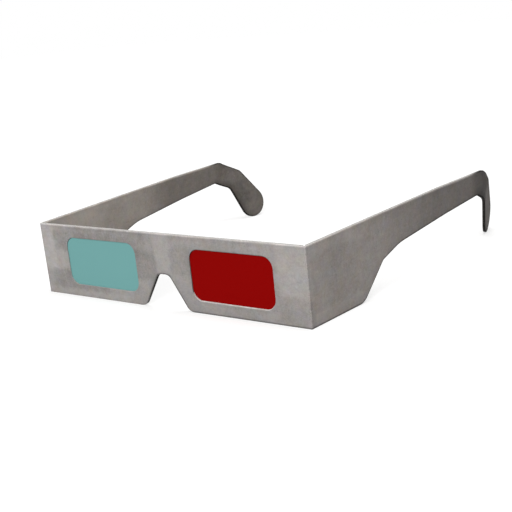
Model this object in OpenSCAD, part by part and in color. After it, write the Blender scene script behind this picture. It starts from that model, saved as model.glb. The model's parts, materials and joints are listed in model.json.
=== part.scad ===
// Folding card 3D glasses with a red and a cyan film window.
// Two plies of grey card are glued face to face and the films are caught between them.
// The front faces -Y, so +X is the wearer's left. The front edge and the hook tips stand on Z = 0.

/* [Front panel] */
// Width of the front between the two arm folds
front_w = 136; // [128:1:146]
// Height of the front
front_h = 30.8; // [29.6:0.2:36]
// Distance between the middles of the two windows
window_pitch = 67.2; // [66:0.2:72]
// Height of the window middles above the middle of the front
window_z = 0; // [-1:0.1:1]
// Width of each window
window_w = 39; // [32:0.2:40]
// Height of each window
window_h = 20.4; // [16:0.2:21]
// Corner radius of each window
window_r = 4.5; // [2:0.1:6]

/* [Nose notch] */
// Width of the notch at the lower edge, between sharp corners
notch_w = 22.8; // [18:0.2:24]
// Width of the notch along its top, between sharp corners
notch_top_w = 5.4; // [4.6:0.2:9]
// Height of the notch
notch_h = 14.2; // [10:0.2:18]
// Rounding where the notch meets the lower edge
notch_foot_r = 4; // [2:0.2:6]
// Rounding at the top of the notch
notch_top_r = 3.4; // [2:0.2:4]

/* [Card and film] */
// Thickness of one ply of card
ply = 0.55; // [0.4:0.05:0.8]
// Thickness of the film, and of the glue line that it lies in
film_t = 0.1; // [0.06:0.02:0.2]
// Width of film held between the plies all round a window
film_lap = 3; // [2:0.1:3.4]
// Corner radius of the film
film_r = 2; // [1:0.2:3]
// Width of glued card kept between each film and the nose notch
notch_land = 2.4; // [1.6:0.1:3]
// Room between the film's edge and the glue
film_room = 0.1; // [0.05:0.05:0.3]
// Length by which the lining stops short of each arm fold
fold_relief = 1.2; // [1:0.1:3]
// Room between the fold's bead and the arm
fold_room = 0.05; // [0.02:0.01:0.1]

/* [Arms] */
// Angle by which each arm stands outwards from square to the front
splay = 3.3; // [0:0.1:8]
// Length of the deep cheek part behind the fold
cheek_len = 33.4; // [28:0.2:38]
// Fall of the cheek's lower corner below the front's lower edge
cheek_fall = 0.8; // [0:0.1:0.9]
// Rounding of the cheek's lower corner
cheek_r = 8; // [4:0.5:12]
// Distance from the fold to the shoulder, where the cheek's rise ends
shoulder_len = 48.3; // [44:0.1:54]
// Depth of the arm at the shoulder
shoulder_w = 18.8; // [17:0.2:21]
// Rounding of the shoulder
shoulder_r = 2.5; // [1:0.5:6]
// Distance from the fold to the start of the long taper
taper_len = 61; // [58:0.5:70]
// Depth of the arm at the start of the long taper
taper_w = 15.3; // [14.6:0.1:16.6]
// Distance from the fold to the middle of the long taper
waist_len = 98; // [90:0.5:110]
// Depth of the arm at the middle of the long taper
waist_w = 12.8; // [11.8:0.1:13.4]
// Rounding of the soft corners along the taper
taper_r = 30; // [10:1:60]
// Distance from the fold to the crown, where the upper edge starts to fall
crown_len = 95; // [70:0.5:110]
// Fall of the upper edge from the fold to the crown
crown_fall = 0.3; // [0.1:0.1:1]

/* [Ear hooks] */
// Distance from the fold to the wrist, where the hook begins
wrist_len = 131.3; // [124:0.1:140]
// Fall of the wrist's middle below the front's upper edge
wrist_fall = 6.3; // [6:0.1:7]
// Width of the band across the wrist
wrist_w = 11.7; // [10:0.1:12.4]
// Lean of the line across the wrist
wrist_lean = 30.2; // [24:0.2:38]
// Length of the band from the wrist to the knuckle
knuckle_len = 13.6; // [11:0.2:16]
// Slope of the band from the wrist to the knuckle
knuckle_slope = 26.5; // [20:0.5:32]
// Width of the band across the knuckle
knuckle_w = 11.7; // [9.5:0.05:12.6]
// Lean of the line across the knuckle
knuckle_lean = 45.2; // [38:0.2:52]
// Length of the band from the knuckle to the middle of its round tip
tip_len = 17.6; // [14:0.2:22]
// Slope of the band from the knuckle to the tip
tip_slope = 58.6; // [54:0.2:66]
// Radius of the round tip
tip_r = 7.85; // [6.4:0.05:9]
// Rounding of the band's corners
band_r = 5; // [3:0.5:9]
// Lean of the line that the hook is bent along
bend_lean = 18.2; // [10:0.1:30]
// Distance from the middle of the wrist to the start of the bend
bend_from = 1.4; // [0.5:0.1:4]
// Length of card taken up by the bend
bend_len = 5.6; // [4:0.2:9]
// Angle of the bend towards the head
bend_angle = 18.3; // [8:0.1:28]

/* [Hidden] */
$fn = 48;

card_grey = [0.62, 0.6, 0.58];
lining_grey = [0.55, 0.52, 0.5];
fold_grey = [0.58, 0.56, 0.54];
glue_cream = [0.86, 0.82, 0.7];
film_red = [0.55, 0.04, 0.03];
film_cyan = [0.45, 0.65, 0.65];

// Layers of the sheet, each as [low, high] along the outward normal from the card's inner face
card_layer = [0, ply];
glue_layer = [-film_t, 0];
lining_layer = [-film_t - ply, -film_t];

// Steps in each rounded corner of an outline, and a reach past everything
corner_steps = 8;
reach = 2 * (front_w + wrist_len);

// Each arm folds about a line on the inner face of the outer card
fold_x = front_w / 2 - ply;
fold_y = ply;

function unit(v) = v / norm(v);
function turned(v, angle) = [v.x * cos(angle) - v.y * sin(angle), v.x * sin(angle) + v.y * cos(angle)];
function leaning(angle) = [sin(angle), cos(angle)];
function sloping(angle) = [cos(angle), -sin(angle)];

// Points of the arc of radius r that rounds the corner b between a and c
function corner(a, b, c, r) =
  r == 0 ? [b] :
  let (
    u = unit(a - b),
    v = unit(c - b),
    half = acos(u * v) / 2,
    centre = b + unit(u + v) * r / sin(half),
    start = b + u * r / tan(half) - centre,
    sweep = sign(cross(b - a, c - b)) * (180 - 2 * half)
  )
  [for (i = [0 : corner_steps]) centre + turned(start, sweep * i / corner_steps)];

// Outline through a list of [x, y, rounding]
function rounded(path) =
  let (n = len(path), p = [for (q = path) [q.x, q.y]])
  [for (i = [0 : n - 1]) each corner(p[(i + n - 1) % n], p[i], p[(i + 1) % n], path[i].z)];

// Point where a line from p touches the circle, on the side that the sign gives
function tangent_point(p, centre, r, side) =
  centre + r * turned(unit(p - centre), side * acos(r / norm(p - centre)));

// The flat arm, with its length from the fold along x and its height along y
wrist = [wrist_len, front_h - wrist_fall];
knuckle = wrist + knuckle_len * sloping(knuckle_slope);
tip = knuckle + tip_len * sloping(tip_slope);
wrist_top = wrist + wrist_w / 2 * leaning(wrist_lean);
wrist_low = wrist - wrist_w / 2 * leaning(wrist_lean);
knuckle_top = knuckle + knuckle_w / 2 * leaning(knuckle_lean);
knuckle_low = knuckle - knuckle_w / 2 * leaning(knuckle_lean);
tip_front = tangent_point(knuckle_low, tip, tip_r, 1);
tip_rear = tangent_point(knuckle_top, tip, tip_r, -1);
arm_path = [
  [0, 0, 0],
  [cheek_len, -cheek_fall, cheek_r],
  [shoulder_len, front_h - shoulder_w, shoulder_r],
  [taper_len, front_h - taper_w, taper_r],
  [waist_len, front_h - waist_w, taper_r],
  [wrist_low.x, wrist_low.y, band_r],
  [knuckle_low.x, knuckle_low.y, band_r],
  [tip_front.x, tip_front.y, 0],
  [tip_rear.x, tip_rear.y, 0],
  [knuckle_top.x, knuckle_top.y, band_r],
  [wrist_top.x, wrist_top.y, band_r],
  [crown_len, front_h - crown_fall, taper_r],
  [0, front_h, 0]
];

// Bend of the hook: start, radius at the card's inner face, and the hook's normal as [length, height, out]
bend_start = wrist + bend_from * sloping(bend_lean);
bend_r = bend_len / (bend_angle * PI / 180);
hook_normal = [
  sin(bend_angle) * cos(bend_lean),
  -sin(bend_angle) * sin(bend_lean),
  cos(bend_angle)
];

// Middle of the round tip on the outer face of the bent hook, as [length, height, out]
tip_along = (tip - bend_start) * sloping(bend_lean) - bend_len;
tip_across = (tip - bend_start) * leaning(bend_lean);
tip_run = bend_r * sin(bend_angle) + tip_along * cos(bend_angle);
tip_inset = bend_r * (1 - cos(bend_angle)) + tip_along * sin(bend_angle);
tip_place = bend_start + tip_run * sloping(bend_lean) + tip_across * leaning(bend_lean);
tip_bent = [tip_place.x, tip_place.y, -tip_inset] + ply * hook_normal;

// The same point and normal as [Y, Z] in the frame of an upright front
tip_yz = [fold_y + tip_bent.x * cos(splay) - tip_bent.z * sin(splay), tip_bent.y];
normal_yz = [hook_normal.x * cos(splay) - hook_normal.z * sin(splay), hook_normal.y];

// Farthest point of the tip's rim along a direction d in the [Y, Z] plane
function tip_rim(d) =
  let (tilt = d * normal_yz)
  tip_yz + tip_r * (d - tilt * normal_yz) / sqrt(1 - tilt * tilt);

// Lean of the whole that sets the hook tips level with the front's lower edge
tip_low = tip_rim([0, -1]);
stand_lean = atan2(-tip_low.y, tip_low.x);
rear_way = [cos(stand_lean), -sin(stand_lean)];
rear_y = tip_rim(rear_way) * rear_way;
front_y = -front_h * sin(stand_lean);

// Frame of the whole: the origin lies under the middle of the outer box
module standing() {
  translate([0, -(front_y + rear_y) / 2, 0])
    rotate([stand_lean, 0, 0])
      children();
}

// Frame of the front: x across, y up, z out of the card's inner face
module front_frame() {
  standing() translate([0, fold_y, 0]) rotate([90, 0, 0]) children();
}

// Frame of one arm: x along it from the fold, y up, z out of the card's inner face
module arm_frame(side) {
  standing()
    mirror([side < 0 ? 1 : 0, 0, 0])
      translate([fold_x, fold_y, 0])
        rotate([90, 0, 90 - splay])
          children();
}

// Frame on the line where the hook's bend starts: x across the bend, y along it
module bend_frame() {
  translate([bend_start.x, bend_start.y, 0]) rotate([0, 0, -bend_lean]) children();
}

// Moves the flat blank's hook to where the bend carries it
module beyond_bend() {
  bend_frame()
    translate([0, 0, -bend_r])
      rotate([0, bend_angle, 0])
        translate([-bend_len, 0, bend_r])
          rotate([0, 0, bend_lean])
            translate([-bend_start.x, -bend_start.y, 0])
              children();
}

// A flat outline made one layer thick
module sheet(layer) {
  translate([0, 0, layer[0]]) linear_extrude(layer[1] - layer[0]) children();
}

module rounded_rectangle(w, h, r) {
  square([w - 2 * r, h], center = true);
  square([w, h - 2 * r], center = true);
  for (x = [-1, 1], y = [-1, 1])
    translate([x * (w / 2 - r), y * (h / 2 - r)]) circle(r = r);
}

// One rounded rectangle about a window's middle, larger than the window by the margin
module round_window(side, margin, r) {
  translate([side * window_pitch / 2, front_h / 2 + window_z])
    rounded_rectangle(window_w + 2 * margin, window_h + 2 * margin, r);
}

// Outline of the front from edge to edge, with the nose notch
module front_outline(w) {
  polygon(rounded([
    [w / 2, 0, 0],
    [w / 2, front_h, 0],
    [-w / 2, front_h, 0],
    [-w / 2, 0, 0],
    [-notch_w / 2, 0, notch_foot_r],
    [-notch_top_w / 2, notch_h, notch_top_r],
    [notch_top_w / 2, notch_h, notch_top_r],
    [notch_w / 2, 0, notch_foot_r]
  ]));
}

// Nose notch with sharp corners, grown by the margin
module grown_notch(margin) {
  drift = (notch_w - notch_top_w) / 2 / notch_h;
  foot = notch_w / 2 + margin * norm([1, drift]);
  top_z = notch_h + margin;
  top = foot - top_z * drift;
  polygon([[foot, 0], [top, top_z], [-top, top_z], [-foot, 0]]);
}

// Outline of one film, or of the room for it in the glue, which keeps clear of the notch
module film_outline(side, room) {
  difference() {
    round_window(side, film_lap + room, film_r + room);
    grown_notch(notch_land - room);
  }
}

module front_ply(w) {
  difference() {
    front_outline(w);
    for (side = [-1, 1]) round_window(side, 0, window_r);
  }
}

// Flat blank of one arm and its hook
module arm_blank() {
  polygon(rounded(arm_path));
  translate(tip) circle(r = tip_r);
}

// Parts of the flat blank: the arm up to the bend, and the hook past it
module arm_panel(start) {
  intersection() {
    arm_blank();
    translate([start, -reach / 2]) square(reach);
    translate(bend_start) rotate(-bend_lean) translate([-reach, -reach / 2]) square(reach);
  }
}

module hook_panel() {
  intersection() {
    arm_blank();
    translate(bend_start) rotate(-bend_lean) translate([bend_len, -reach / 2]) square(reach);
  }
}

// Blank of the bend, rolled about the bend's centre line
module bend_sheet(layer) {
  intersection() {
    linear_extrude(2 * bend_r, center = true) arm_blank();
    bend_frame()
      translate([0, 0, -bend_r])
        rotate([0, -90, -90])
          rotate_extrude(angle = bend_angle)
            translate([bend_r + layer[0], -reach / 2])
              square([layer[1] - layer[0], reach]);
  }
}

// Front panel
module front_card() {
  color(card_grey) front_frame() sheet(card_layer) front_ply(2 * fold_x);
}

module rear_card() {
  color(lining_grey) front_frame() sheet(lining_layer) front_ply(2 * (fold_x - fold_relief));
}

module front_glue() {
  color(glue_cream) front_frame() sheet(glue_layer) difference() {
    front_outline(2 * (fold_x - fold_relief));
    for (side = [-1, 1]) film_outline(side, film_room);
  }
}

module filter(side) {
  front_frame() sheet(glue_layer) film_outline(side, 0);
}

module red_filter() {
  color(film_red) filter(1);
}

module cyan_filter() {
  color(film_cyan) filter(-1);
}

// Bead of bent card that closes the outer corner of an arm fold
module fold_bead(side) {
  color(fold_grey)
    standing()
      mirror([side < 0 ? 1 : 0, 0, 0])
        translate([fold_x, fold_y, 0])
          rotate([0, 0, -90])
            rotate_extrude(angle = 90 - splay)
              square([ply, front_h]);
}

// Layers of one arm, its bend and its hook
module arm_layer(side, layer, start) {
  arm_frame(side) sheet(layer) arm_panel(start);
}

module bend_layer(side, layer) {
  arm_frame(side) bend_sheet(layer);
}

module hook_layer(side, layer) {
  arm_frame(side) beyond_bend() sheet(layer) hook_panel();
}

module left_fold() { fold_bead(1); }
module left_arm_card() { color(card_grey) arm_layer(1, card_layer, fold_room); }
module left_arm_glue() { color(glue_cream) arm_layer(1, glue_layer, fold_relief); }
module left_arm_lining() { color(lining_grey) arm_layer(1, lining_layer, fold_relief); }
module left_bend_card() { color(card_grey) bend_layer(1, card_layer); }
module left_bend_glue() { color(glue_cream) bend_layer(1, glue_layer); }
module left_bend_lining() { color(lining_grey) bend_layer(1, lining_layer); }
module left_hook_card() { color(card_grey) hook_layer(1, card_layer); }
module left_hook_glue() { color(glue_cream) hook_layer(1, glue_layer); }
module left_hook_lining() { color(lining_grey) hook_layer(1, lining_layer); }

module right_fold() { fold_bead(-1); }
module right_arm_card() { color(card_grey) arm_layer(-1, card_layer, fold_room); }
module right_arm_glue() { color(glue_cream) arm_layer(-1, glue_layer, fold_relief); }
module right_arm_lining() { color(lining_grey) arm_layer(-1, lining_layer, fold_relief); }
module right_bend_card() { color(card_grey) bend_layer(-1, card_layer); }
module right_bend_glue() { color(glue_cream) bend_layer(-1, glue_layer); }
module right_bend_lining() { color(lining_grey) bend_layer(-1, lining_layer); }
module right_hook_card() { color(card_grey) hook_layer(-1, card_layer); }
module right_hook_glue() { color(glue_cream) hook_layer(-1, glue_layer); }
module right_hook_lining() { color(lining_grey) hook_layer(-1, lining_layer); }

front_card();
rear_card();
front_glue();
red_filter();
cyan_filter();
left_fold();
left_arm_card();
left_arm_glue();
left_arm_lining();
left_bend_card();
left_bend_glue();
left_bend_lining();
left_hook_card();
left_hook_glue();
left_hook_lining();
right_fold();
right_arm_card();
right_arm_glue();
right_arm_lining();
right_bend_card();
right_bend_glue();
right_bend_lining();
right_hook_card();
right_hook_glue();
right_hook_lining();
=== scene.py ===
import json

import bmesh
import bpy
import numpy as np
from mathutils import Matrix


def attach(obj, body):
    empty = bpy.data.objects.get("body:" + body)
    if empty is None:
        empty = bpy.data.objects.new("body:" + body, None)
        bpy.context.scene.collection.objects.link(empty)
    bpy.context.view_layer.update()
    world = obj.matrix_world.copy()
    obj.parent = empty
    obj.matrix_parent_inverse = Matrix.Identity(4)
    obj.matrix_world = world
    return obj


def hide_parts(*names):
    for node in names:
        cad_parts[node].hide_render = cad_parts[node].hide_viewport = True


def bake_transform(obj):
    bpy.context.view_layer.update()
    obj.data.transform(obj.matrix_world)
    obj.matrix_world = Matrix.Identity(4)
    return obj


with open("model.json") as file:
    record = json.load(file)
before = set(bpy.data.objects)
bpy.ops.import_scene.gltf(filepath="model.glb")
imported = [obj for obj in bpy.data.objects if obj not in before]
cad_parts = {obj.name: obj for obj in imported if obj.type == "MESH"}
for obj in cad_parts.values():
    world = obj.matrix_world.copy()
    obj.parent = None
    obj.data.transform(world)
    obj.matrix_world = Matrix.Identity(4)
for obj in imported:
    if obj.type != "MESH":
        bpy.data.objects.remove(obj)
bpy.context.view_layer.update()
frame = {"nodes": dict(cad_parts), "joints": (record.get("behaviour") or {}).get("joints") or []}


# Outer card of the front. One ply of grey board, die-cut with two rounded windows and a nose notch.
# The films, the glue line and the lining are laid on its back, and an arm folds from each of its ends.

front_height = 0.0308
front_reach = 0.06745
ply = 0.00055
window_middle = np.array([0.0336, 0.0154])
window_size = np.array([0.0390, 0.0204])
window_round = 0.0045
notch_foot, notch_top, notch_height = 0.0114, 0.0027, 0.0142
notch_foot_round, notch_top_round = 0.004, 0.0034
cut_round = 0.0001
outline_step = 0.0008
seam_gap = 1e-7

# The glasses lean a little as they stand, and the axis of the left fold gives the lean and the place.
fold_joint = next(j for j in frame["joints"] if j["name"] == "left_arm_fold")
_, fold_sin, fold_cos = fold_joint["axis"]
stand_turn = np.array([[1, 0, 0], [0, fold_cos, fold_sin], [0, -fold_sin, fold_cos]])
stand_shift = np.array(fold_joint["pos_m"]) - stand_turn @ [front_reach, ply, front_height / 2]


def standing(points):
    """Places points of the upright glasses as they stand: turned about X by the lean, then moved."""
    return points @ stand_turn.T + stand_shift


def rounded(corners, steps=14):
    """Closed outline through sharp corners (x, z, r), with an arc in each: its middle lies r / sin(half
    angle) along the bisector, and it swings between the two points r / tan(half angle) along the sides."""
    corners = np.asarray(corners, float)
    tip, r = corners[:, :2], corners[:, 2:]
    before, after = np.roll(tip, 1, 0) - tip, np.roll(tip, -1, 0) - tip
    before /= np.linalg.norm(before, axis=1, keepdims=True)
    after /= np.linalg.norm(after, axis=1, keepdims=True)
    half = np.arccos((before * after).sum(1, keepdims=True)) / 2
    bisector = (before + after) / np.linalg.norm(before + after, axis=1, keepdims=True)
    middle = tip + bisector * r / np.sin(half)
    start, stop = tip + before * r / np.tan(half) - middle, tip + after * r / np.tan(half) - middle
    share, sweep = np.linspace(0, 1, steps)[None, :, None], (np.pi - 2 * half)[:, None]
    swing = np.sin((1 - share) * sweep) * start[:, None] + np.sin(share * sweep) * stop[:, None]
    return middle[:, None] + swing / np.sin(sweep)


def lengths(line):
    """Distance along a line of points, from its first point to each."""
    return np.concatenate([[0], np.cumsum(np.linalg.norm(np.diff(line, axis=0), axis=1))])


def at_length(line, length):
    """Points of the line at the given distances along it."""
    run = lengths(line)
    return np.stack([np.interp(length, run, line[:, k]) for k in range(line.shape[1])], -1)


def fine(loop, step):
    """The closed loop with points added so that none lie farther apart than the step."""
    loop = np.concatenate([loop, loop[:1]])
    run = lengths(loop)
    return at_length(loop, np.union1d(run, np.arange(0, run[-1], step)))[:-1]


def cells(index):
    """Quads of a grid of point numbers: the four corners of every cell in turn."""
    return np.stack([index[:-1, :-1], index[1:, :-1], index[1:, 1:], index[:-1, 1:]], -1).reshape(-1, 4)


def surface(name, points, finish, wrap=True, mirrored=False, drop=None, **marks):
    """Mesh of a grid points[u, v]: every cell is a quad, v closes on itself and so does u if wrap is set.
    Mirrored adds the same grid with x reversed, drop leaves out the quads whose corners it marks, and each
    other mark becomes an attribute. Doubles are merged, which closes seams and poles."""
    rows, columns = points.shape[:2]
    index = np.arange(rows * columns).reshape(rows, columns)
    index = np.concatenate([index, index[:1]]) if wrap else index
    quads = cells(np.concatenate([index, index[:, :1]], 1))
    if drop is not None:
        quads = quads[~drop.reshape(-1)[quads].all(1)]
    used, quads = np.unique(quads, return_inverse=True)
    quads, flat = quads.reshape(-1, 4), points.reshape(-1, 3)[used]
    marks = {mark: values.reshape(rows * columns, -1)[used] for mark, values in marks.items()}
    if mirrored:
        quads = np.concatenate([quads, quads[:, ::-1] + len(flat)])
        flat = np.concatenate([flat, flat * [-1, 1, 1]])
        marks = {
            mark: np.concatenate([values, values * ([-1, 1, 1] if values.shape[1] == 3 else 1)])
            for mark, values in marks.items()}
    mesh = bpy.data.meshes.new(name)
    mesh.from_pydata(flat, [], quads)
    for mark, values in marks.items():
        kind, field = ("FLOAT_VECTOR", "vector") if values.shape[1] == 3 else ("FLOAT", "value")
        mesh.attributes.new(mark, kind, "POINT").data.foreach_set(field, values.astype(np.float32).ravel())
    work = bmesh.new()
    work.from_mesh(mesh)
    bmesh.ops.remove_doubles(work, verts=work.verts, dist=seam_gap)
    bmesh.ops.dissolve_degenerate(work, edges=work.edges, dist=seam_gap / 10)
    bmesh.ops.recalc_face_normals(work, faces=work.faces)
    work.to_mesh(mesh)
    work.free()
    mesh.materials.append(finish)
    piece = bpy.data.objects.new(name, mesh)
    bpy.context.scene.collection.objects.link(piece)
    return piece


def edge_profile(low, high, across=7):
    """Section of a layer between two cut edges, as columns: share of the way across, inset from the edge,
    level, and 1 on the cut. It runs over the outer face, round down one edge, back and round up the other.
    Points crowd towards the edges, and the rounding takes no more than a third of a thin layer."""
    crowding, round_share = 1.8, 1 - np.sqrt(0.5)
    share = np.linspace(-1, 1, across)
    share = (1 + np.sign(share) * (1 - (1 - np.abs(share)) ** crowding)) / 2
    edge_round = min(cut_round, (high - low) / 3)
    inset, fall = edge_round * np.array([[1, round_share, 0], [0, round_share, 1]])
    face = np.stack([share, np.zeros(across), np.full(across, high), np.zeros(across)], 1)
    face[[0, -1], 1] = edge_round
    down = np.stack([
        np.ones(6), np.r_[inset, inset[::-1]], np.r_[high - fall, low + fall[::-1]],
        [0, 0.5, 1, 1, 0.5, 0]], 1)
    back = face[::-1] * [1, 1, 0, 1] + [0, 0, low, 0]
    up = down[::-1] * [0, 1, 1, 1]
    return np.concatenate([face[:-1], down, back[1:-1], up[:-1]])


def front_gaps(flat):
    """Distances on the flat front to the nearest edge, to an edge that faces down, as the notch and a
    window's lintel do, and to one that faces up, as a sill does. A window's edge counts by its distance over
    the square of how far it faces down or up there, so that its sides hardly count, and a lintel by half."""
    least_facing = 0.02
    x, z = flat[..., 0], flat[..., 1]
    off = flat - window_middle
    box = np.maximum(np.abs(off) - window_size / 2 + window_round, 0) * np.sign(off)
    from_round = np.hypot(*box.transpose(2, 0, 1))
    facing = box[..., 1] / from_round
    window_gap = np.maximum(from_round - window_round, 0)
    lintel = (2 * window_gap + cut_round / 2) / np.clip(facing, least_facing, 1) ** 2
    sill = (window_gap + cut_round / 2) / np.clip(-facing, least_facing, 1) ** 2
    slope = np.array([notch_height, notch_foot - notch_top])
    notch_gap = ((x - notch_foot) * slope[0] + z * slope[1]) / np.hypot(*slope)
    over_notch = np.hypot(np.maximum(x - notch_top, 0), z - notch_height)
    notch_gap = np.where(z > notch_height, over_notch, notch_gap)
    low_gap = np.where(x > notch_foot, np.minimum(z, notch_gap), notch_gap)
    high_gap = front_height - z
    rim = np.minimum(np.minimum(window_gap, high_gap), low_gap)
    return [np.maximum(gap, 0) for gap in (rim, np.minimum(low_gap, lintel), np.minimum(high_gap, sill))]


def front_sheet(name, reach, low, high, finish):
    """One ply of the front. Each half is ruled from the window's edge to the outline along rays from the
    window's middle, the ply's section is carried round the window, and the other half is its mirror image."""
    window_corners = window_middle + window_size / 2 * [(1, 1), (-1, 1), (-1, -1), (1, -1)]
    window = rounded([(*corner, window_round) for corner in window_corners])
    outline = rounded([
        (0, front_height, 0), (0, notch_height, 0), (notch_top, notch_height, notch_top_round),
        (notch_foot, 0, notch_foot_round), (reach, 0, 0), (reach, front_height, 0)])
    loops = []
    for loop in (window, outline):
        loop = fine(loop.reshape(-1, 2), outline_step)
        angle, first = np.unique(np.arctan2(*(loop - window_middle).T[::-1]), return_index=True)
        loops.append((angle, loop[first]))
    angle = np.union1d(loops[0][0], loops[1][0])
    inner, outer = (
        np.stack([np.interp(angle, turn, points[:, k], period=2 * np.pi) for k in (0, 1)], -1)
        for turn, points in loops)
    way = outer - inner
    way /= np.linalg.norm(way, axis=1, keepdims=True)
    cut = (outer[:, 0] > seam_gap) & (outer[:, 0] < reach - seam_gap)
    share, inset, level, mark = edge_profile(low, high).T
    rounding = np.where(share < 0.5, inset, -inset * cut[:, None])
    flat = inner[:, None] + (outer - inner)[:, None] * share[:, None] + way[:, None] * rounding[..., None]
    x, z, n = flat[..., 0], flat[..., 1], np.broadcast_to(level, flat.shape[:2])
    seam = (x < seam_gap) | (x > reach - seam_gap)
    rim, low_gap, high_gap = front_gaps(flat)
    return surface(
        name, standing(np.stack([x, ply - n, z], -1)), finish, mirrored=True, drop=x < seam_gap,
        blank=np.stack([x, z, n], -1), rim=rim, low=low_gap, high=high_gap, cut=np.where(seam, 0, mark))


class Tone:
    """A socket of a finish's node tree. Arithmetic on tones adds Math nodes, and make adds any other node."""

    def __init__(self, tree, socket=None):
        self.tree, self.socket = tree, socket

    def make(self, kind, settings=None, sockets=None, output=0):
        """Adds a node: its settings first, then the value or link of each socket. Gives one output."""
        node = self.tree.nodes.new(kind)
        for name, value in (settings or {}).items():
            setattr(node, name, value)
        for name, value in (sockets or {}).items():
            if isinstance(value, Tone):
                self.tree.links.new(value.socket, node.inputs[name])
            else:
                node.inputs[name].default_value = value
        return Tone(self.tree, node.outputs[output] if len(node.outputs) else None)

    def math(self, operation, *values):
        """Math node on the given values."""
        return self.make("ShaderNodeMath", {"operation": operation}, dict(enumerate(values)))

    def __add__(self, other):
        return self.math("ADD", self, other)

    def __sub__(self, other):
        return self.math("SUBTRACT", self, other)

    def __rsub__(self, other):
        return self.math("SUBTRACT", other, self)

    def __mul__(self, other):
        return self.math("MULTIPLY", self, other)

    __radd__, __rmul__ = __add__, __mul__

    def most(self, other):
        """The larger of two values."""
        return self.math("MAXIMUM", self, other)

    def step(self, low, high):
        """0 below low, 1 above high, with a smooth rise between them."""
        return self.make("ShaderNodeMapRange", {"interpolation_type": "SMOOTHSTEP"},
                         {"Value": self, "From Min": low, "From Max": high})

    def part(self, axis):
        """One part, X, Y or Z, of a vector."""
        return self.make("ShaderNodeSeparateXYZ", None, {0: self}, axis)

    def noise(self, size, detail=2.0, stretch=(1, 1, 1)):
        """Cloudy value about 0, from -0.5 to 0.5, with features of the given size in metres."""
        place = self.make("ShaderNodeVectorMath", {"operation": "MULTIPLY"}, {0: self, 1: stretch})
        cloudy = self.make("ShaderNodeTexNoise", None, {"Vector": place, "Scale": 1 / size, "Detail": detail})
        return cloudy - 0.5

    def scaled(self, colour, factor):
        """A colour times a number."""
        return self.make("ShaderNodeVectorMath", {"operation": "SCALE"}, {0: colour, "Scale": factor})

    def mixed(self, factor, a, b):
        """Colour a where the factor is 0 and b where it is 1."""
        return self.make("ShaderNodeMix", {"data_type": "RGBA"}, {0: factor, 6: a, 7: b}, 2)


def new_finish(name):
    """An empty material and the tone that its nodes are made from."""
    material = bpy.data.materials.new(name)
    material.use_nodes = True
    material.node_tree.nodes.clear()
    return material, Tone(material.node_tree)


def finish_with(tone, shader):
    """Puts the shader on the surface."""
    tone.make("ShaderNodeOutputMaterial", None, {"Surface": shader})


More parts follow.
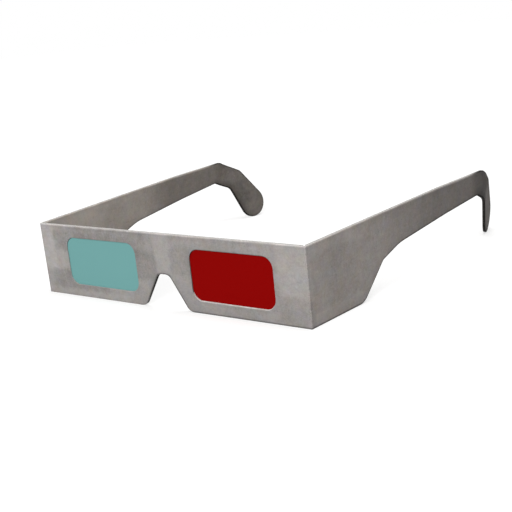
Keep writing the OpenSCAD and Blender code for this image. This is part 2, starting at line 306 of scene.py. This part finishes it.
def board_finish(name, cool, warm, painted_shading, stains_and_light):
    """Grey board. Its grey is 1 plus clouds, specks, fibres, soft rectangular stains and patches of painted
    light, times a painted shade that darkens the arms towards the ears and the hooks most, and its tint goes
    from cool to warm in patches. Along edges that face down the face has a painted shade, most on the arms
    and the wearer's left half, and along edges that face up a painted highlight, least on the sill of the
    right window. The cut walls go the same way, carry painted light on the right half and are nearly black on
    the hooks. Painted shading gives where the arm's painted shade starts and where it is full, its depth on
    arm and hook, and the arm's added painted shade under its lower edges."""
    material, tone = new_finish(name)
    blank = tone.make("ShaderNodeAttribute", {"attribute_name": "blank"}, None, "Vector")
    rim, low, high, cut = (
        tone.make("ShaderNodeAttribute", {"attribute_name": mark}, None, "Fac")
        for mark in ("rim", "low", "high", "cut"))

    # Where on the blank: arms, hooks, crease and halves, with bounds that stray a little.
    stray = 0.003
    x = blank.part("X") + blank.noise(0.004, 2) * stray
    z = blank.part("Y") + blank.noise(0.0031, 2) * stray
    reach = x.math("ABSOLUTE", x)
    painted_shade_from, painted_shade_to, arm_painted_shade, hook_painted_shade, arm_under_shade = painted_shading
    arms = reach.step(0.0672, 0.0682)
    ears = reach.step(painted_shade_from, painted_shade_to)
    hooks = reach.step(0.187, 0.200)
    crease = reach.step(0.0671, 0.0674) * (1 - reach.step(0.0680, 0.0683))
    left_half = x.step(-0.005, 0.005)
    past_notch = x.step(-0.014, -0.006)
    over_sills = z.step(0.010, 0.012)

    # Grey of the face: noise by feature size, fibres that lie along and across, then the stains.
    speck, grain = blank.noise(0.0008, 2), blank.noise(0.00022, 3)
    cloud = blank.noise(0.018, 3) * 0.16 + blank.noise(0.006, 3) * 0.24 + blank.noise(0.0022, 3) * 0.24
    fibre = blank.noise(0.0011, 2, (0.25, 1.6, 1)) + blank.noise(0.0009, 2, (1.5, 0.3, 1))
    fleck, fleck_from, fleck_to = 0.10, 0.18, 0.26
    flecks = fleck * fibre.step(fleck_from, fleck_to) - fleck * (1 - fibre.step(-fleck_to, -fleck_from))
    handled = 1 - rim.step(0, 0.004)
    shade = 1 + cloud * (1 + 1.2 * hooks) + speck * 0.3 + grain * 0.4 + flecks
    # Along the crease the grain breaks the surface, and a faint painted shade takes off the corner's
    # highlight.
    shade = shade + crease * (grain - 0.05) - 0.07 * handled
    # Stains, and on the lining patches of painted light.
    for low_x, high_x, low_z, high_z, soft, amount in stains_and_light:
        across = x.step(low_x - soft, low_x + soft) * (1 - x.step(high_x - soft, high_x + soft))
        upward = z.step(low_z - soft, low_z + soft) * (1 - z.step(high_z - soft, high_z + soft))
        shade = shade + across * upward * amount

    # Edges: how near one that faces down or up is, the painted shade along the first and the painted
    # highlight along the second, and on the hooks a painted shade low down and darker rims.
    edge_soft, under_shade_width, highlight_width = 0.0001, 0.0009, 0.0006 + 0.0002 * over_sills + 0.0003 * ears
    under, over = 1 - low.step(edge_soft, under_shade_width), 1 - high.step(edge_soft, highlight_width)
    # Painted highlight along edges that face up, none on the hooks; on the sills strong under the left window
    # and faint under the right.
    over = over * (1 - hooks) * (1 + (1 - over_sills) * (2.2 * left_half - 0.8))
    # Painted shade along edges that face down: some everywhere, more on the arms and the wearer's left half
    # past the notch, plus the arm's added painted shade.
    under_shade = 0.12 + 0.48 * arms.most(past_notch) + arm_under_shade * arms
    # Strength of the painted highlight: more above the sills and towards the ears, and patchy.
    edge_highlight = 0.5 + 0.3 * over_sills + 0.6 * ears + 1.6 * blank.noise(0.012, 2)
    # Painted shade on the hooks within a few millimetres of the lower edge, where the bend is hollow, and
    # darker hook rims.
    hook_under_shade, hook_rim = 1 - low.step(0, 0.0045), 1 - rim.step(0.0002, 0.0008)
    # Painted shade towards the ears and more on the hooks, along edges that face down and low on the hooks,
    # darker hook rims, and painted highlight along edges that face up.
    shade = shade * (1 - arm_painted_shade * ears) * (1 - hook_painted_shade * hooks) * (1 - under_shade * under)
    shade = shade * (1 - 0.36 * hooks * hook_under_shade) * (1 - 0.6 * hooks * hook_rim) * (1 + edge_highlight * over)

    # Colour of the face, and of the cut walls.
    warmth = blank.noise(0.0068, 3) * 0.92 + blank.noise(0.0023, 3) * 0.80 + 0.417 + 0.167 * arms
    rosy, greenish = (1.033, 0.967, 1.033, 1), (0.967, 1.033, 0.967, 1)
    blush = tone.mixed(blank.noise(0.0034, 3) * 1.5 + 0.5, rosy, greenish)
    tint = tone.make("ShaderNodeVectorMath", {"operation": "MULTIPLY"}, {
        0: tone.mixed(warmth, cool, warm), 1: blush})
    lit_wall, grey_wall = (0.370, 0.365, 0.355, 1), (0.150, 0.142, 0.134, 1)
    dark_wall, highlight_wall = (0.013, 0.012, 0.011, 1), (0.60, 0.59, 0.57, 1)
    # On the wearer's right half the cut walls are lighter: painted light that lifts the shade they lie in.
    wall = tone.mixed(left_half, lit_wall, grey_wall)
    # Nearly black walls: on the hooks, and as painted shade on walls that face down.
    wall = tone.mixed(hooks.most(under * under_shade * 1.7), wall, dark_wall)
    # Painted highlight on cut walls that face up.
    wall = tone.mixed(over, wall, highlight_wall)
    wall = tone.scaled(wall, 1 + blank.noise(0.0005, 3) * 0.5)
    relief = tone.make("ShaderNodeBump", None, {
        "Strength": 0.25, "Distance": 0.00004, "Height": speck + fibre * 0.7 + grain * 0.5})
    finish_with(tone, tone.make("ShaderNodeBsdfPrincipled", None, {
        "Base Color": tone.mixed(cut, tone.scaled(tint, shade), wall), "Roughness": 0.86 + speck * 0.12,
        "Specular IOR Level": 0.08, "Normal": relief}))
    return material


# Each stain or patch of painted light gives its two ends along the blank, its two ends up it, its softness
# and the change of shade.
outer_stains = [
    # Right end, and round the right window.
    (-0.0690, -0.0605, 0.0115, 0.034, 0.0010, 0.25),
    (-0.0605, -0.0530, 0.0115, 0.0195, 0.0010, 0.13),
    (-0.0690, -0.0200, -0.003, 0.0028, 0.0010, 0.12),
    (-0.0640, -0.0315, 0.0030, 0.0110, 0.0012, -0.13),
    (-0.0315, -0.0170, -0.003, 0.0060, 0.0010, 0.05),
    (-0.0600, -0.0080, 0.0200, 0.034, 0.0014, -0.11),
    (-0.0605, -0.0520, 0.0280, 0.034, 0.0008, 0.14),
    (-0.0480, -0.0270, 0.0250, 0.0282, 0.0010, -0.08),
    # Bridge of the nose.
    (-0.0150, -0.0035, 0.0110, 0.0230, 0.0014, -0.17),
    (-0.0032, 0.0042, 0.0120, 0.034, 0.0010, 0.10),
    (0.0048, 0.0150, 0.0150, 0.0260, 0.0014, -0.11),
    # Round the left window, and left end.
    (0.0290, 0.0440, -0.003, 0.0050, 0.0014, -0.04),
    (0.0310, 0.0370, 0.0250, 0.034, 0.0014, -0.06),
    (0.0440, 0.0530, 0.0250, 0.034, 0.0014, 0.08),
    (0.0545, 0.0690, 0.0118, 0.034, 0.0010, 0.12),
    (0.0545, 0.0680, 0.0020, 0.0108, 0.0010, -0.11),
    # Left cheek, arm and hook.
    (0.0680, 0.0780, -0.003, 0.034, 0.0040, 0.06),
    (0.0690, 0.0960, 0.0270, 0.034, 0.0020, 0.11),
    (0.0700, 0.1000, -0.003, 0.0050, 0.0014, 0.11),
    (0.0810, 0.0905, -0.003, 0.034, 0.0030, -0.04),
    (0.0905, 0.1060, 0.0255, 0.034, 0.0020, 0.08),
    (0.0980, 0.1200, 0.0080, 0.0255, 0.0030, 0.05),
    (0.1450, 0.1640, -0.003, 0.034, 0.0040, -0.07),
    (0.2075, 0.2400, -0.010, 0.019, 0.0030, 0.78),
]
# Painted shading of the outer board: where the arm's painted shade starts and is full, its depth on arm and
# hook, and the arm's added painted shade under its lower edges.
outer_painted_shading = 0.095, 0.190, 0.43, 0.40, 0.15
outer_cool, outer_warm = (0.313, 0.321, 0.330, 1), (0.351, 0.300, 0.265, 1)
outer_board = board_finish("outer_grey_board", outer_cool, outer_warm, outer_painted_shading, outer_stains)
outer_front = front_sheet("outer_front", front_reach, 0, ply, outer_board)
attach(outer_front, "front")
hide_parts("front_card")


# Films. Two rectangles of dyed film, the red one before the wearer's left eye, the cyan one before the right.
# Each is a smooth sheet a tenth of a millimetre thick, laid behind its window and held by the plies all
# round. The sheets are the solids of the frame, and only their finish is made here.

def film_finish(name, colour, deep):
    """Dyed film: an even colour, in places a little deeper, with faint ripples, smooth and hardly glossy."""
    material, tone = new_finish(name)
    place = tone.make("ShaderNodeTexCoord", None, None, "Object")
    dye = place.noise(0.02, 2) * 0.5 + place.noise(0.0016, 2) * 0.2 + 0.5
    ripple = tone.make("ShaderNodeBump", None, {
        "Strength": 0.2, "Distance": 0.0002, "Height": place.noise(0.016, 1, (1, 1, 0.5))})
    finish_with(tone, tone.make("ShaderNodeBsdfPrincipled", None, {
        "Base Color": tone.mixed(dye, colour, deep), "Roughness": 0.34 + place.noise(0.003, 2) * 0.08,
        "Specular IOR Level": 0.01, "Normal": ripple}))
    return material


def dress(node, finish):
    """Gives a solid of the frame its finish."""
    materials = frame["nodes"][node].data.materials
    materials.clear()
    materials.append(finish)


red, deep_red = (0.262, 0.0020, 0.0017, 1), (0.250, 0.0018, 0.0015, 1)
cyan, deep_cyan = (0.176, 0.393, 0.388, 1), (0.169, 0.382, 0.378, 1)
dress("red_filter", film_finish("red_filter_film", red, deep_red))
dress("cyan_filter", film_finish("cyan_filter_film", cyan, deep_cyan))


# Lining of the front. A second ply of the same board, plain and uncoated, glued over the films from behind.
# It stops a little short of each fold so that the outer card can crease.

fold_relief = 0.0012
glue_line = 0.0001
inner_stains_and_light = [
    # Cheeks behind the folds: painted light that lifts the shadow of the front on the arms' inner faces.
    (0.066, 0.104, -0.003, 0.034, 0.008, 0.27),
    (-0.104, -0.066, -0.003, 0.034, 0.008, 0.27),
    # Right arm and hook.
    (-0.2000, -0.1000, 0.028, 0.034, 0.0010, 0.08),
    (-0.1900, -0.1780, 0.010, 0.034, 0.0040, -0.04),
    (-0.2005, -0.1930, 0.010, 0.034, 0.0030, 0.15),
    (-0.2080, -0.2020, 0.012, 0.034, 0.0020, -0.08),
    (-0.2190, -0.2095, 0.002, 0.017, 0.0025, -0.19),
]
# Painted shading of the lining: the same, with no added painted shade under the arm's lower edges.
inner_painted_shading = 0.130, 0.157, 0.41, 0.25, 0
inner_cool, inner_warm = (0.373, 0.371, 0.364, 1), (0.414, 0.350, 0.299, 1)
inner_board = board_finish("inner_grey_board", inner_cool, inner_warm, inner_painted_shading, inner_stains_and_light)
inner_front = front_sheet(
    "inner_front", front_reach - fold_relief, -glue_line - ply, -glue_line, inner_board)
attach(inner_front, "front")
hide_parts("rear_card")


# Glue line of the front. Dried adhesive between the two plies, round the films and out to the cut edges.
# Only its edge shows, as a thin line between the plies.

def glue_finish(name):
    """Dried adhesive: brown with dust along the cut, patchy, with a dull shine."""
    material, tone = new_finish(name)
    place = tone.make("ShaderNodeTexCoord", None, None, "Object")
    patch = place.noise(0.002, 3) + 0.5
    brown, dusty = (0.026, 0.023, 0.019, 1), (0.080, 0.072, 0.060, 1)
    finish_with(tone, tone.make("ShaderNodeBsdfPrincipled", None, {
        "Base Color": tone.mixed(patch, brown, dusty), "Roughness": 0.45 + patch * 0.2}))
    return material


dried_glue = glue_finish("dried_glue")
dress("front_glue", dried_glue)


# Arms with their ear hooks. Each arm is cut in one with the outer card, lined with a second ply, and bent
# softly towards the head behind the ear, so that all three layers run on through the bend to the round tip.

splay = np.radians(3.3)
fold_room = 0.00005
bend_lean, bend_angle, bend_length = np.radians(18.2), np.radians(18.3), 0.0056
bend_radius = bend_length / bend_angle
bend_gap = 0.0014
band_half = 0.00585
wrist_length, wrist_drop, wrist_lean = 0.1313, 0.0063, np.radians(30.2)
knuckle_way, knuckle_slope, knuckle_lean = 0.0136, np.radians(26.5), np.radians(45.2)
tip_way, tip_slope, tip_radius = 0.0176, np.radians(58.6), 0.00785
cheek, shoulder = np.array([0.0334, -0.0008]), np.array([0.0483, front_height - 0.0188])
taper, waist = np.array([0.061, front_height - 0.0153]), np.array([0.098, front_height - 0.0128])
crown = np.array([0.095, front_height - 0.0003])
cheek_round, shoulder_round, taper_round, band_round = 0.008, 0.0025, 0.03, 0.005


def leaning(angle):
    """Unit way up the arm, leaning towards the ear by the angle."""
    return np.array([np.sin(angle), np.cos(angle)])


def sloping(angle):
    """Unit way along the arm to the ear, sloping down by the angle."""
    return np.array([np.cos(angle), -np.sin(angle)])


wrist = np.array([wrist_length, front_height - wrist_drop])
wrist_half = band_half * leaning(wrist_lean)
knuckle = wrist + knuckle_way * sloping(knuckle_slope)
knuckle_half = band_half * leaning(knuckle_lean)
tip = knuckle + tip_way * sloping(tip_slope)
bend_start = wrist + bend_gap * sloping(bend_lean)


def touching(point, side):
    """Point where a line from the given point touches the round tip: the way from the tip's middle to the
    point, turned by the angle whose cosine is the radius over the distance."""
    way = point - tip
    gap = np.linalg.norm(way)
    turn = side * np.arccos(tip_radius / gap)
    return tip + tip_radius / gap * np.array([
        way[0] * np.cos(turn) - way[1] * np.sin(turn), way[0] * np.sin(turn) + way[1] * np.cos(turn)])


def arm_edges(start):
    """Lower and upper edge of the flat arm, as points from its start to the far end of the round tip. Each
    is cut into the same eight stretches, so that lines across the arm join matching places."""
    lower_corners, tip_steps, station_step, edge_step = 8, 60, 0.0005, 0.0002
    low_tip, high_tip = touching(knuckle - knuckle_half, 1), touching(knuckle + knuckle_half, -1)
    arcs = rounded([
        (start, cheek[1] * start / cheek[0], 0), (*cheek, cheek_round), (*shoulder, shoulder_round),
        (*taper, taper_round), (*waist, taper_round), (*(wrist - wrist_half), band_round),
        (*(knuckle - knuckle_half), band_round), (*low_tip, 0), (*high_tip, 0),
        (*(knuckle + knuckle_half), band_round), (*(wrist + wrist_half), band_round),
        (*crown, taper_round), (start, front_height, 0)])
    first, last = (np.arctan2(*(p - tip)[::-1]) for p in (low_tip, high_tip))
    last += 2 * np.pi * (last < first)
    swing = np.linspace(0, 1, tip_steps)[:, None] * (last - first) / 2
    low_end = tip + tip_radius * np.hstack([np.cos(first + swing), np.sin(first + swing)])
    high_end = tip + tip_radius * np.hstack([np.cos(last - swing), np.sin(last - swing)])
    low_arcs, high_arcs = arcs[:lower_corners], arcs[:lower_corners - 1:-1, ::-1]
    low = np.concatenate([low_arcs.reshape(-1, 2), low_end[1:]])
    high = np.concatenate([high_arcs.reshape(-1, 2), high_end[1:]])
    middles = arcs[:, arcs.shape[1] // 2]
    low_middles, high_middles = middles[:lower_corners], middles[:lower_corners - 1:-1]
    facing = np.stack([cheek, shoulder, taper])[:, 0]
    over = np.stack([facing, np.interp(facing, [0, crown[0]], [front_height, crown[1]])], 1)
    low_marks = np.concatenate([low_middles, low_end[-1:]])
    high_marks = np.concatenate([high_middles[:1], over, high_middles[1:], high_end[-1:]])
    spacing = lengths((low_marks + high_marks) / 2)
    station = np.union1d(np.arange(0, spacing[-1], station_step), spacing)
    edges = []
    for line, marks in ((low, low_marks), (high, high_marks)):
        line = at_length(line, np.union1d(lengths(line), np.arange(0, lengths(line)[-1], edge_step)))
        nearest = np.argmin(np.linalg.norm(line[:, None] - marks, axis=2), axis=0)
        edges.append(at_length(line, np.interp(station, spacing, lengths(line)[nearest])))
    return edges


def rolled(length, height, out):
    """Rolls the flat arm about the leaning axis behind its bend: the card turns by its way past the bend's
    start over the bend's radius, up to the full angle, and runs straight on from there."""
    flat = np.stack([length, height], -1) - bend_start
    along, across = flat @ sloping(bend_lean), flat @ leaning(bend_lean)
    turn = np.clip(along / bend_radius, 0, bend_angle)
    past = along - turn * bend_radius
    run = (bend_radius + out) * np.sin(turn) + past * np.cos(turn)
    inset = (bend_radius + out) * np.cos(turn) - bend_radius - past * np.sin(turn)
    place = bend_start + run[..., None] * sloping(bend_lean) + across[..., None] * leaning(bend_lean)
    return place[..., 0], place[..., 1], inset


def arm_place(side, length, height, out):
    """Places points of one arm, given along it, up and out of the card's inner face, on the standing
    glasses: the arm runs back from its fold, turned outwards by the splay."""
    x = front_reach + length * np.sin(splay) + out * np.cos(splay)
    y = ply + length * np.cos(splay) - out * np.sin(splay)
    return standing(np.stack([side * x, y, height], -1))


def arm_sheet(name, side, start, low, high, finish):
    """One layer of an arm and its hook: the layer's section stretched between the lower and the upper edge,
    carried from the fold to the tip, and rolled through the bend. Its start closes on the middle of that."""
    section_points, pole = 13, 1e-9
    lower, upper = arm_edges(start)
    width = np.linalg.norm(upper - lower, axis=1)[:, None]
    share, inset, level, mark = edge_profile(low, high, section_points).T
    rounding = np.minimum(1, width / (4 * cut_round)) * np.where(share < 0.5, inset, -inset)
    across = np.divide(upper - lower, width, out=np.zeros_like(lower), where=width > pole)
    flat = lower[:, None] + (upper - lower)[:, None] * share[:, None] + across[:, None] * rounding[..., None]
    opposite = len(share) // 2
    cap = (flat[:1, :1] + flat[:1, opposite:opposite + 1]) / 2
    flat = np.concatenate([np.broadcast_to(cap, flat[:1].shape), flat])
    n = np.broadcast_to(level, flat.shape[:2]).copy()
    n[0] = (low + high) / 2
    width = np.concatenate([width[:1], width])
    return surface(
        name, arm_place(side, *rolled(flat[..., 0], flat[..., 1], n)), finish, wrap=False,
        blank=np.stack([side * (front_reach + flat[..., 0]), flat[..., 1], n], -1),
        rim=width * np.minimum(share, 1 - share), low=width * share, high=width * (1 - share),
        cut=np.broadcast_to(mark, n.shape) * (np.arange(len(n)) > 0)[:, None])


for side_name, side in (("left", 1), ("right", -1)):
    for run in (0, bend_length):
        crossing = bend_start + run * sloping(bend_lean)
        arm_place(side, *rolled(*crossing, np.array(0.0)))
    for layer, start, low, high, finish, slot in (
            ("card", fold_room, 0, ply, outer_board, "card"),
            ("glue", fold_relief, -glue_line, 0, dried_glue, "glue"),
            ("lining", fold_relief, -glue_line - ply, -glue_line, inner_board, "lining")):
        sheet = arm_sheet(f"{side_name}_{layer}_sheet", side, start, low, high, finish)
        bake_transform(sheet)
        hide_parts(*(f"{side_name}_{stretch}_{layer}" for stretch in ("arm", "bend", "hook")))


# Creases. Where an arm folds from the front, the outer card turns a sharp corner about a line on its inner
# face. The card is stretched round the outside of the corner, so its surface is a little broken there.

def crease(name, side, finish):
    """Wedge of bent card: rays of the ply's thickness turn about the fold line from the front's direction to
    the arm's, and that section is carried up the fold. Its ends close on the middle of the section."""
    turn_steps, height_steps = 14, 60
    turn = np.linspace(0, np.pi / 2 - splay, turn_steps)
    section = np.concatenate([[[0, 0]], ply * np.stack([np.sin(turn), -np.cos(turn)], 1)])
    height = np.r_[0, np.linspace(0, front_height, height_steps), front_height]
    loop = np.broadcast_to(section, (len(height), *section.shape)).copy()
    loop[[0, -1]] = section.mean(0)
    z = np.broadcast_to(height[:, None], loop.shape[:2])
    points = np.stack([side * (front_reach + loop[..., 0]), ply + loop[..., 1], z], -1)
    cut = np.zeros_like(z)
    cut[[0, -1]] = 1
    return surface(
        name, standing(points), finish, wrap=False,
        blank=np.stack([points[..., 0], z, np.full_like(z, ply)], -1),
        rim=np.minimum(z, front_height - z), low=z, high=front_height - z, cut=cut)


for side_name, side in (("left", 1), ("right", -1)):
    strip = crease(f"{side_name}_crease", side, outer_board)
    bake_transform(strip)
    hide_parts(f"{side_name}_fold")


# Floor and backdrop. A plain pale table that runs on out of view, white to the camera and still dulled where
# the glasses keep the light off it.

def to_eye(tone):
    """1 on rays that reach the viewer, straight or by a reflection or through a film, and 0 on others."""
    camera, glossy, through = (
        tone.make("ShaderNodeLightPath", None, None, f"Is {ray} Ray")
        for ray in ("Camera", "Glossy", "Transmission"))
    return tone.math("MINIMUM", camera + glossy + through, 1)


def white_finish(name):
    """White to the eye: near the glasses part glow and part lit matt, so that a shadow shows, and all glow
    far off. To the light that bounces from it, it is a mid grey."""
    material, tone = new_finish(name)
    place = tone.make("ShaderNodeTexCoord", None, None, "Object")
    away = tone.make("ShaderNodeVectorMath", {"operation": "LENGTH"}, {0: place}, "Value").step(0.2, 0.8)
    glow = tone.make("ShaderNodeEmission", None, {
        "Color": (1, 1, 1, 1), "Strength": to_eye(tone) * (0.58 + 0.42 * away)})
    matt = tone.make("ShaderNodeBsdfDiffuse", None, {"Color": (0.5, 0.5, 0.5, 1)})
    finish_with(tone, tone.make("ShaderNodeAddShader", None, {0: matt, 1: glow}))
    return material


table_half, table_lines, table_level = 3, 7, -0.00002
span = np.linspace(-table_half, table_half, table_lines)
table_x, table_y = np.meshgrid(span, span, indexing="ij")
table_points = np.stack([table_x, table_y, np.full_like(table_x, table_level)], -1).reshape(-1, 3)
table = bpy.data.meshes.new("table")
table.from_pydata(table_points, [], cells(np.arange(table_lines ** 2).reshape(table_lines, table_lines)))
table.materials.append(white_finish("white_table"))
table_piece = bpy.data.objects.new("table", table)
bpy.context.scene.collection.objects.link(table_piece)


# Light. A soft lamp before and above the glasses on the camera's side, a wider one overhead, and an even
# grey room that the camera sees as white.

def soft_lamp(name, place, target, size, power, colour):
    """Square lamp at a place, turned to face the target."""
    lamp = bpy.data.lights.new(name, "AREA")
    lamp.size, lamp.energy, lamp.color = size, power, colour
    holder = bpy.data.objects.new(name, lamp)
    away = np.asarray(place) - target
    away = away / np.linalg.norm(away)
    right = np.cross([0, 0, 1], away)
    right = right / np.linalg.norm(right)
    turn = np.eye(4)
    turn[:3, 0], turn[:3, 1], turn[:3, 2], turn[:3, 3] = right, np.cross(away, right), away, place
    holder.matrix_world = Matrix(turn.tolist())
    bpy.context.scene.collection.objects.link(holder)


lamp_white = (1.0, 0.99, 0.98)
soft_lamp("key_lamp", (0.42, -1.40, 0.68), (0, 0, 0.01), size=0.9, power=18.2, colour=lamp_white)
soft_lamp("top_lamp", (0.1, 0.2, 2.5), (0, 0, 0), size=1.5, power=38, colour=lamp_white)
room = bpy.data.worlds.new("room")
room.use_nodes = True
room.node_tree.nodes.clear()
air = Tone(room.node_tree)
air.make("ShaderNodeOutputWorld", None, {"Surface": air.make("ShaderNodeBackground", None, {
    "Color": (1, 1, 1, 1), "Strength": 0.25 + 0.75 * to_eye(air)})})
bpy.context.scene.world = room


# Camera. It looks down a little on the open glasses from before the wearer's left, with a slight tilt of the
# frame. Its place and its ways right, down and forward are given for the upright glasses.

camera = bpy.data.objects.new("camera", bpy.data.cameras.new("camera"))
camera.data.sensor_width, camera.data.lens = 36, 67.836
camera.data.clip_start, camera.data.clip_end = 0.01, 20
camera_place = np.array([0.24990, -0.26615, 0.11846])
right, down, forward = np.array([
    [0.80689, 0.58209, -0.10052],
    [0.07868, -0.27456, -0.95834],
    [-0.58544, 0.76537, -0.26734]]) @ stand_turn.T
aim = np.eye(4)
aim[:3, 0], aim[:3, 1], aim[:3, 2] = right, -down, -forward
aim[:3, 3] = standing(camera_place)
camera.matrix_world = Matrix(aim.tolist())
bpy.context.scene.collection.objects.link(camera)
bpy.context.scene.camera = camera
bpy.context.scene.view_settings.view_transform = "Standard"
